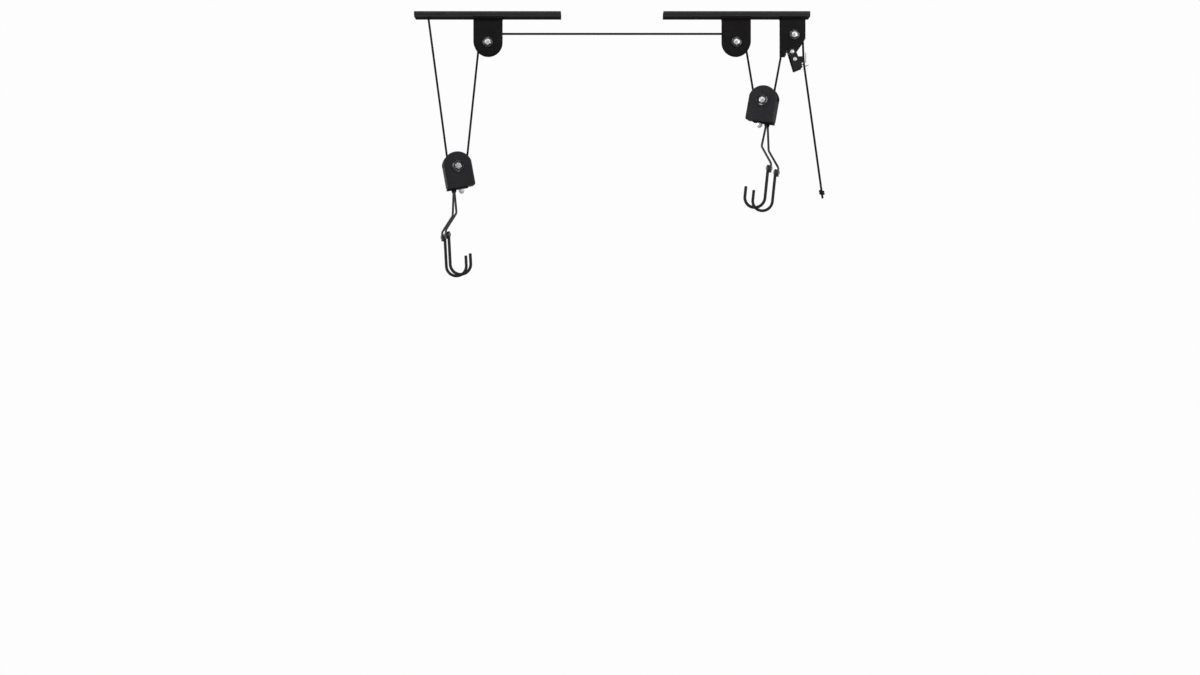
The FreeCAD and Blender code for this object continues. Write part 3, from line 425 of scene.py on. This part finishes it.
def makePaint(name, look):
    material, tree, shader = newMaterial(name)
    grain = placeGroup(tree, grainGroup, {
        "Grain Scale": look["grain"], "Base Roughness": look["rough"], "Roughness Spread": look["spread"],
    })
    marks = placeGroup(tree, scuffGroup, {"Amount": look["marks"]})
    edges = placeGroup(tree, edgeGroup, {"Edge Radius": look["edge"]})
    base = mixColour(tree, grain.outputs["Patch"], look["colour"], look["patchColour"])
    rubbed = mixColour(tree, marks.outputs["Marks"], base, look["markAndEdgeHighlightColour"])
    # edges are lightened towards the mark colour: partly worn paint, partly a painted highlight along the
    # edges
    share = rangeNode(tree, grain.outputs["Patch"], *paintSetup["edgeWearAndHighlightPatch"], *paintSetup["edgeWearAndHighlightShare"])
    edgeWearAndHighlight = mathNode(tree, "MULTIPLY", edges.outputs["Edge"], share)
    tree.links.new(mixColour(tree, edgeWearAndHighlight, rubbed, look["markAndEdgeHighlightColour"]), shader.inputs["Base Color"])
    tree.links.new(grain.outputs["Roughness"], shader.inputs["Roughness"])
    turned = tree.nodes.new("ShaderNodeLayerWeight").outputs["Facing"]
    gloss = rangeNode(tree, turned, *paintSetup["aslant"], look["shine"], look["rim"])
    shader.inputs["Specular IOR Level"].default_value = look["shine"]
    tree.links.new(gloss, shader.inputs["Specular IOR Level"])
    bumpDepth = paintSetup["bumpDepth"]
    addBump(tree, shader, grain.outputs["Grain"], look["bump"], bumpDepth, edges.outputs["Normal"])
    return material


metalLooks = {
    # bolts and nuts: half-diffuse near-white, so their faces read bright as a painted highlight
    "zincPlate": {
        "colour": (0.92, 0.92, 0.91, 1), "dull": (0.74, 0.74, 0.72, 1), "metal": 0.5,
        "rough": 0.36, "spread": 0.14, "brush": 900.0, "edge": 0.0003,
    },
    # washers: the same plating made dark, a painted dark reflection of the room
    "washerPlate": {
        "colour": (0.13, 0.13, 0.13, 1), "dull": (0.07, 0.07, 0.07, 1), "metal": 1.0,
        "rough": 0.11, "spread": 0.06, "brush": 900.0, "edge": 0.0002,
    },
    "clipSteel": {
        "colour": (0.15, 0.15, 0.15, 1), "dull": (0.07, 0.07, 0.07, 1), "metal": 1.0,
        "rough": 0.42, "spread": 0.14, "brush": 1400.0, "edge": 0.0002,
    },
    "plainSteel": {
        "colour": (0.42, 0.42, 0.42, 1), "dull": (0.22, 0.22, 0.22, 1), "metal": 1.0,
        "rough": 0.34, "spread": 0.16, "brush": 1400.0, "edge": 0.0002,
    },
}


metalSetup = {
    "patchScale": 160.0,
    "dullPatch": (0.35, 0.75),
    "dullShare": (0.0, 0.8),
    "bump": 0.06,
    "bumpDepth": 0.0003,
}


def makeMetal(name, look):
    material, tree, shader = newMaterial(name)
    grain = placeGroup(tree, grainGroup, {
        "Grain Scale": look["brush"], "Patch Scale": metalSetup["patchScale"],
        "Base Roughness": look["rough"], "Roughness Spread": look["spread"],
    })
    shade = rangeNode(tree, grain.outputs["Patch"], *metalSetup["dullPatch"], *metalSetup["dullShare"])
    tree.links.new(mixColour(tree, shade, look["colour"], look["dull"]), shader.inputs["Base Color"])
    shader.inputs["Metallic"].default_value = look["metal"]
    tree.links.new(grain.outputs["Roughness"], shader.inputs["Roughness"])
    edges = placeGroup(tree, edgeGroup, {"Edge Radius": look["edge"]})
    bump, bumpDepth = metalSetup["bump"], metalSetup["bumpDepth"]
    addBump(tree, shader, grain.outputs["Grain"], bump, bumpDepth, edges.outputs["Normal"])
    return material


ropeLook = {
    # strand crown colour, and a darker colour painted into the grooves as shade
    "pale": (0.015, 0.015, 0.016, 1),
    "grooveShade": (0.003, 0.003, 0.003, 1),
    "fibreScale": 5200.0,
    "fibreDetail": 2.0,
    "fibreRange": (0.3, 0.7),
    "fibreTint": (0.55, 1.0),
    "rough": 0.72,
    "shine": 0.2,
    "sheen": 0.02,
    "bump": 0.35,
    "bumpDepth": 0.0003,
}


def makeRopeMaterial():
    material, tree, shader = newMaterial("braidedBlack")
    braid = tree.nodes.new("ShaderNodeAttribute")
    braid.attribute_name = "braid"
    place = tree.nodes.new("ShaderNodeTexCoord").outputs["Object"]
    fibre = noiseNode(tree, place, ropeLook["fibreScale"], ropeLook["fibreDetail"])
    shade = rangeNode(tree, fibre, *ropeLook["fibreRange"], *ropeLook["fibreTint"])
    tint = mathNode(tree, "MULTIPLY", braid.outputs["Fac"], shade)
    # painted shade: the rope is darker in the grooves between strands, with a random fibre tone on top
    tree.links.new(mixColour(tree, tint, ropeLook["grooveShade"], ropeLook["pale"]), shader.inputs["Base Color"])
    shader.inputs["Roughness"].default_value = ropeLook["rough"]
    shader.inputs["Specular IOR Level"].default_value = ropeLook["shine"]
    shader.inputs["Sheen Weight"].default_value = ropeLook["sheen"]
    addBump(tree, shader, fibre, ropeLook["bump"], ropeLook["bumpDepth"])
    return material


materials = {name: makePaint(name, look) for name, look in paintLooks.items()}
materials.update({name: makeMetal(name, look) for name, look in metalLooks.items()})
ropeMaterial = makeRopeMaterial()

nodeMaterials = {
    "railPaint": ["rear_rail", "front_rail"],
    "bracketPaint": [
        "rear_bracket_front_plate", "rear_bracket_back_plate",
        "front_bracket_front_plate", "front_bracket_back_plate",
        "lock_bracket_front_plate", "lock_bracket_back_plate",
        "bracket_rivets", "rear_hanger_plate", "front_hanger_plate",
    ],
    "zincPlate": ["bracket_axle_bolts", "bracket_axle_nuts", "lever_rivets"],
    "washerPlate": ["bracket_axle_washers"],
    "plainSteel": ["rope_guide", "cam_jaw"],
    "clipSteel": [],
    "leverPaint": ["lever_front_plate", "lever_back_plate"],
    "armPaint": ["lever_arm"],
    "wheelPlastic": ["bracket_axle_bushes", "rear_rail_pulley", "front_rail_pulley", "lock_pulley"],
    "housingPlastic": [],
    "hookPaint": [],
    "sleeveRubber": [],
}
for side in bothSides:
    nodeMaterials["zincPlate"] += [f"{side}_block_axle_bolt", f"{side}_block_axle_nut"]
    nodeMaterials["zincPlate"] += [f"{side}_hanger_bolt", f"{side}_hanger_cap_nut"]
    nodeMaterials["washerPlate"] += [f"{side}_block_axle_washers"]
    nodeMaterials["wheelPlastic"] += [f"{side}_block_bush", f"{side}_block_pulley"]
    nodeMaterials["housingPlastic"] += [f"{side}_block_front_shell", f"{side}_block_back_shell"]
    nodeMaterials["hookPaint"] += [f"{side}_hook_rods"]
    nodeMaterials["sleeveRubber"] += [f"{side}_hook_sleeves"]
    nodeMaterials["clipSteel"] += [f"{side}_hook_clips"]
for name, nodes in nodeMaterials.items():
    for node in nodes:
        part = frame["nodes"][node]
        part.data.materials.clear()
        part.data.materials.append(materials[name])
print("materials placed on", sum(len(nodes) for nodes in nodeMaterials.values()), "nodes")


# rope: braided tubes made by one node tree along each stretch of the route

rope = {
    "radius": 0.0026,  # at the crowns of the strands
    "bendRadius": 0.021,
    "ringStep": 0.0006,
    "sides": 28,
    "strands": 4,  # crossing strands each way round
    "lay": 0.0135,
    "groove": 0.0003,
    "padPower": 0.45,  # less makes flatter strands with narrower grooves
    "overlap": 0.0012,
    "arcPoints": 48,
    "curveSteps": 16,  # along a smooth stretch, for each control point
    "tangentSteps": 20,  # turns of the search for a run between two wheels
    "anchor": (-0.7295, 0, -0.011),
    "guide": (0.160, 0, -0.1169),
    "guideLead": 0.027,  # straight stretch each side of the guide
    "tailEnd": (0.202, 0, -0.4193),
    "lockHold": 0.062,  # the cam and the wall keep the rope in line this far below the lock pulley
}


def newSweepTree(name, inputs):
    # a node tree with its sizes as inputs, its input node and the identifier of its material
    tree = bpy.data.node_groups.new(name, "GeometryNodeTree")
    face = tree.interface
    face.new_socket("Geometry", in_out="INPUT", socket_type="NodeSocketGeometry")
    for label, kind, value in inputs:
        face.new_socket(label, in_out="INPUT", socket_type=kind).default_value = value
    material = face.new_socket("Material", in_out="INPUT", socket_type="NodeSocketMaterial")
    face.new_socket("Geometry", in_out="OUTPUT", socket_type="NodeSocketGeometry")
    return tree, tree.nodes.new("NodeGroupInput"), material.identifier


def ringNode(tree, start, radius):
    circle = tree.nodes.new("GeometryNodeCurvePrimitiveCircle")
    tree.links.new(start.outputs["Sides"], circle.inputs["Resolution"])
    tree.links.new(start.outputs[radius], circle.inputs["Radius"])
    return circle.outputs["Curve"]


def sweepNode(tree, path, ring):
    sweep = tree.nodes.new("GeometryNodeCurveToMesh")
    sweep.inputs["Fill Caps"].default_value = True
    tree.links.new(path, sweep.inputs["Curve"])
    tree.links.new(ring, sweep.inputs["Profile Curve"])
    return sweep.outputs["Mesh"]


def endSweepTree(tree, start, mesh):
    smooth = tree.nodes.new("GeometryNodeSetShadeSmooth")
    tree.links.new(mesh, smooth.inputs["Geometry"])
    real = tree.nodes.new("GeometryNodeRealizeInstances")
    tree.links.new(smooth.outputs["Geometry"], real.inputs["Geometry"])
    finish = tree.nodes.new("GeometryNodeSetMaterial")
    tree.links.new(real.outputs["Geometry"], finish.inputs["Geometry"])
    tree.links.new(start.outputs["Material"], finish.inputs["Material"])
    end = tree.nodes.new("NodeGroupOutput")
    tree.links.new(finish.outputs["Geometry"], end.inputs["Geometry"])


def makeBraidTree():
    tree, start, materialInput = newSweepTree("braidedRope", (
        ("Rope Radius", "NodeSocketFloat", rope["radius"]),
        ("Ring Step", "NodeSocketFloat", rope["ringStep"]),
        ("Sides", "NodeSocketInt", rope["sides"]),
        ("Strands", "NodeSocketFloat", rope["strands"]),
        ("Lay", "NodeSocketFloat", rope["lay"]),
        ("Groove", "NodeSocketFloat", rope["groove"]),
    ))
    nodes = tree.nodes
    links = tree.links

    def store(geometry, name, value):
        node = nodes.new("GeometryNodeStoreNamedAttribute")
        node.data_type = "FLOAT"
        node.domain = "POINT"
        node.inputs["Name"].default_value = name
        links.new(geometry, node.inputs["Geometry"])
        links.new(value, node.inputs["Value"])
        return node.outputs["Geometry"]

    def read(name):
        node = nodes.new("GeometryNodeInputNamedAttribute")
        node.data_type = "FLOAT"
        node.inputs["Name"].default_value = name
        return node.outputs["Attribute"]

    resample = nodes.new("GeometryNodeResampleCurve")
    resample.mode = "LENGTH"
    links.new(start.outputs["Geometry"], resample.inputs["Curve"])
    links.new(start.outputs["Ring Step"], resample.inputs["Length"])
    line = nodes.new("GeometryNodeSplineParameter")
    path = store(resample.outputs["Curve"], "along", line.outputs["Length"])
    loop = nodes.new("GeometryNodeSplineParameter")
    turn = mathNode(tree, "MULTIPLY", loop.outputs["Factor"], fullTurn)
    ring = store(ringNode(tree, start, "Rope Radius"), "around", turn)
    tube = sweepNode(tree, path, ring)

    # two sets of strands wind opposite ways, and grooves lie where they part
    turns = mathNode(tree, "DIVIDE", read("along"), start.outputs["Lay"])
    phase = mathNode(tree, "MULTIPLY", turns, fullTurn)
    around = mathNode(tree, "MULTIPLY", read("around"), start.outputs["Strands"])
    first = mathNode(tree, "COSINE", mathNode(tree, "ADD", around, phase))
    second = mathNode(tree, "COSINE", mathNode(tree, "SUBTRACT", around, phase))
    crossing = mathNode(tree, "ABSOLUTE", mathNode(tree, "MULTIPLY", first, second))
    pad = mathNode(tree, "POWER", crossing, rope["padPower"])
    # the same value darkens the grooves in the rope material, as painted shade
    mesh = store(tube, "braid", pad)
    sunk = mathNode(tree, "SUBTRACT", read("braid"), 1.0)
    depth = mathNode(tree, "MULTIPLY", sunk, start.outputs["Groove"])
    scale = nodes.new("ShaderNodeVectorMath")
    scale.operation = "SCALE"
    links.new(nodes.new("GeometryNodeInputNormal").outputs["Normal"], scale.inputs[0])
    links.new(depth, scale.inputs["Scale"])
    press = nodes.new("GeometryNodeSetPosition")
    links.new(mesh, press.inputs["Geometry"])
    links.new(scale.outputs["Vector"], press.inputs["Offset"])
    endSweepTree(tree, start, press.outputs["Geometry"])
    return tree, materialInput


braidTree, braidMaterialInput = makeBraidTree()


def splineObject(name, points, smooth):
    data = bpy.data.curves.new(name, "CURVE")
    data.dimensions = "3D"
    spline = data.splines.new("NURBS" if smooth else "POLY")
    spline.points.add(len(points) - 1)
    for place, point in zip(points, spline.points):
        point.co = (*place, 1)
    if smooth:
        spline.order_u = 3
        spline.use_endpoint_u = True
        spline.resolution_u = rope["curveSteps"]
    line = bpy.data.objects.new(name, data)
    scene.collection.objects.link(line)
    return line


def plainMesh(name, source):
    graph = bpy.context.evaluated_depsgraph_get()
    mesh = bpy.data.meshes.new_from_object(source.evaluated_get(graph), depsgraph=graph)
    mesh.name = name
    return mesh


def routePoints(points):
    # points along the smooth line that a tube with these control points follows
    line = splineObject("routeLine", points, True)
    mesh = plainMesh("routePoints", line)
    route = [vertex.co.copy() for vertex in mesh.vertices]
    bpy.data.meshes.remove(mesh)
    bpy.data.objects.remove(line)
    return route


def sweptPiece(name, line, tree, materialInput, material):
    modifier = line.modifiers.new("sweep", "NODES")
    modifier.node_group = tree
    modifier[materialInput] = material
    mesh = plainMesh(name, line)
    line.modifiers.remove(modifier)
    bpy.data.objects.remove(line)
    piece = bpy.data.objects.new(name, mesh)
    scene.collection.objects.link(piece)
    return piece


def ropePiece(name, points, smooth=False):
    line = splineObject(name + "Route", points, smooth)
    return sweptPiece(name, line, braidTree, braidMaterialInput, ropeMaterial)


def wheel(jointName):
    # a wheel's centre and the level direction across it, which points to +X
    level = Vector(joints[jointName]["axis"]).cross(up).normalized()
    return Vector(joints[jointName]["pos_m"]), level if level.x > 0 else -level


def onWheel(circle, angle):
    centre, level = circle
    return centre + rope["bendRadius"] * (level * math.cos(angle) + up * math.sin(angle))


def leaving(circle, target, turnSide):
    # the angle at which a straight run to the target leaves a wheel
    centre, level = circle
    away = Vector(target) - centre
    across = away.dot(level)
    opening = math.acos(rope["bendRadius"] / math.hypot(across, away.z))
    return math.atan2(away.z, across) + turnSide * opening


def runBetween(first, firstSide, second, secondSide):
    # the angles at which a straight run leaves one wheel and meets another
    there = second[0]
    for step in range(rope["tangentSteps"]):
        firstAngle = leaving(first, there, firstSide)
        secondAngle = leaving(second, onWheel(first, firstAngle), secondSide)
        there = onWheel(second, secondAngle)
    return firstAngle, secondAngle


def arcPoints(circle, startAngle, endAngle):
    steps = rope["arcPoints"]
    sweep = endAngle - startAngle
    return [onWheel(circle, startAngle + sweep * step / steps) for step in range(steps + 1)]


def stretched(start, end):
    # a straight run that reaches a little way into the stretches at its two ends
    heading = (end - start).normalized() * rope["overlap"]
    return [start - heading, end + heading]


def makeRope():
    rearWheel = wheel("rear_rail_spin")
    frontWheel = wheel("front_rail_spin")
    lockWheel = wheel("lock_spin")
    rearBlock = wheel("rear_block_spin")
    frontBlock = wheel("front_block_spin")
    anchor = Vector(rope["anchor"])
    guide = Vector(rope["guide"])
    tailEnd = Vector(rope["tailEnd"])
    rearOut = leaving(rearBlock, anchor, 1)
    rearIn, rearTop = runBetween(rearBlock, -1, rearWheel, -1)
    frontIn, frontTop = runBetween(frontBlock, 1, frontWheel, 1)
    frontOut, lockIn = runBetween(frontBlock, -1, lockWheel, -1)
    lockOut = leaving(lockWheel, guide, 1)

    falls = (
        ("rear", "Outer", anchor, onWheel(rearBlock, rearOut), 0),
        ("rear", "Inner", onWheel(rearWheel, rearTop), onWheel(rearBlock, rearIn), 0),
        ("front", "Inner", onWheel(frontWheel, frontTop), onWheel(frontBlock, frontIn), 0),
        ("front", "Outer", onWheel(lockWheel, lockIn), onWheel(frontBlock, frontOut), rope["lockHold"]),
    )
    for side, place, top, low, held in falls:
        piece = ropePiece(f"rope{side.title()}{place}Fall", stretched(top, low))
        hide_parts(f"rope_{side}_{place.lower()}_fall")
        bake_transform(piece)

    for side, circle, startAngle, endAngle in (
        ("rear", rearBlock, rearOut % fullTurn, rearIn % fullTurn),
        ("front", frontBlock, frontIn % fullTurn, frontOut % fullTurn),
    ):
        if endAngle < math.pi:
            endAngle += fullTurn
        piece = ropePiece(f"{side}BlockRope", arcPoints(circle, startAngle, endAngle))
        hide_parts(f"{side}_block_rope")
        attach(piece, f"{side}_carriage")

    crown = fullTurn / 4
    spanPoints = arcPoints(rearWheel, rearTop % fullTurn, crown) + arcPoints(frontWheel, crown, frontTop)
    span = ropePiece("ropeRailSpan", spanPoints)
    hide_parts("rope_rail_span")
    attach(span, "ceiling_frame")
    wrap = ropePiece("ropeLockWrap", arcPoints(lockWheel, lockIn % fullTurn, lockOut))
    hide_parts("rope_lock_wrap")
    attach(wrap, "ceiling_frame")
    return onWheel(lockWheel, lockOut), guide, tailEnd


tailStart, tailGuide, tailEnd = makeRope()


def makeTail():
    lead = rope["guideLead"]
    above = tailGuide + (tailStart - tailGuide).normalized() * lead
    below = tailGuide + (tailEnd - tailGuide).normalized() * lead
    points = [tailStart, above, tailGuide, below, tailEnd]
    tail = ropePiece("ropeTail", points, smooth=True)
    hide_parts("rope_tail")
    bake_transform(tail)
    return tail, routePoints(points)


tailKnot = {"turns": 2, "radius": 0.0042, "pitch": 0.0049, "end": 0.006, "pointsPerTurn": 16}
anchorKnot = {  # inside the rail
    "turns": 1, "radius": 0.0031, "pitch": 0.0032, "end": -0.0008, "pointsPerTurn": 16,
}


def makeKnot(name, top, heading, size):
    # turns of rope round the standing end, then a short end past them
    side = heading.orthogonal().normalized()
    across = heading.cross(side)
    points = []
    for step in range(size["turns"] * size["pointsPerTurn"] + 1):
        angle = fullTurn * step / size["pointsPerTurn"]
        depth = rope["radius"] + size["pitch"] * angle / fullTurn
        outward = side * math.cos(angle) + across * math.sin(angle)
        points.append(top + heading * depth + size["radius"] * outward)
    reach = 2 * rope["radius"] + size["pitch"] * size["turns"] + size["end"]
    coil = ropePiece(name + "Coil", points, smooth=True)
    end = ropePiece(name + "End", [top, top + heading * reach])
    return coil, end


tail, tailRoute = makeTail()
heading = (tailEnd - tailGuide).normalized()
tailCoil, tailTip = makeKnot("tailKnot", tailEnd, heading, tailKnot)
for piece in (tailCoil, tailTip):
    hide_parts("rope_tail_knot")
    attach(piece, "lock_lever")
anchorCoil, anchorEnd = makeKnot("anchorKnot", Vector(rope["anchor"]), up, anchorKnot)
for piece in (anchorCoil, anchorEnd):
    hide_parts("rope_anchor_knot")
    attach(piece, "ceiling_frame")
print("rope made")


# lock spring: a coil round the pivot pin, with one leg on a pulley spacer and one on the lever's arm

spring = {
    "wireRadius": 0.0004,
    "coilRadius": 0.0043,
    "turns": 2,
    "pitch": 0.00132,
    "restGap": 0.0003,
    "top": 0.0073,  # along the pin, from the hoist's middle
    "upperLeg": 0.039,
    "lowerLeg": 0.017,
    "spacerRadius": 0.0086,
    "armHeight": 0.013,
    "armCentre": (0.0065, 0, -0.0165),  # from the pivot
    "pointsPerTurn": 40,
    "legSteps": 10,
    "sides": 14,
    "bend": 0.005,  # height each way over which the coil would turn with the lever
}


def makeWireTree():
    tree, start, materialInput = newSweepTree("roundWire", (
        ("Wire Radius", "NodeSocketFloat", spring["wireRadius"]),
        ("Sides", "NodeSocketInt", spring["sides"]),
    ))
    wire = sweepNode(tree, start.outputs["Geometry"], ringNode(tree, start, "Wire Radius"))
    endSweepTree(tree, start, wire)
    return tree, materialInput


def springPoints():
    pivot = Vector(joints["lock_release"]["pos_m"])
    spacer = Vector(joints["lock_spin"]["pos_m"])
    arm = pivot + Vector(spring["armCentre"])
    clear = spring["wireRadius"] + spring["restGap"]

    def legAngle(target, distance, outward):
        # the coil angle whose tangent passes the target at a distance
        away = target - pivot
        opening = math.acos((spring["coilRadius"] + distance) / math.hypot(away.x, away.z))
        return math.atan2(away.z, away.x) + outward * opening

    first = legAngle(spacer, spring["spacerRadius"] + clear, -1)
    last = legAngle(arm, spring["armHeight"] / 2 + clear, 1) - fullTurn * spring["turns"]
    sweep = first - last
    steps = math.ceil(sweep / fullTurn * spring["pointsPerTurn"])
    coil = []
    for step in range(steps + 1):
        angle = first - sweep * step / steps
        depth = spring["top"] - spring["pitch"] * (first - angle) / fullTurn
        across = spring["coilRadius"] * math.cos(angle)
        height = spring["coilRadius"] * math.sin(angle)
        coil.append(Vector((pivot.x + across, depth, pivot.z + height)))
    into = Vector((math.sin(first), 0, -math.cos(first)))
    out = Vector((math.sin(last), 0, -math.cos(last)))
    count = spring["legSteps"]
    upper = [coil[0] - into * spring["upperLeg"] * (1 - step / count) for step in range(count)]
    lower = [coil[-1] + out * spring["lowerLeg"] * (step + 1) / count for step in range(count)]
    return upper + coil + lower, pivot


wireTree, wireMaterialInput = makeWireTree()
points, pivot = springPoints()
lockSpring = sweptPiece(
    "lockSpring", splineObject("lockSpringRoute", points, False),
    wireTree, wireMaterialInput, materials["plainSteel"],
)
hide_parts("lock_return_spring")
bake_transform(lockSpring)
print("lock spring made")
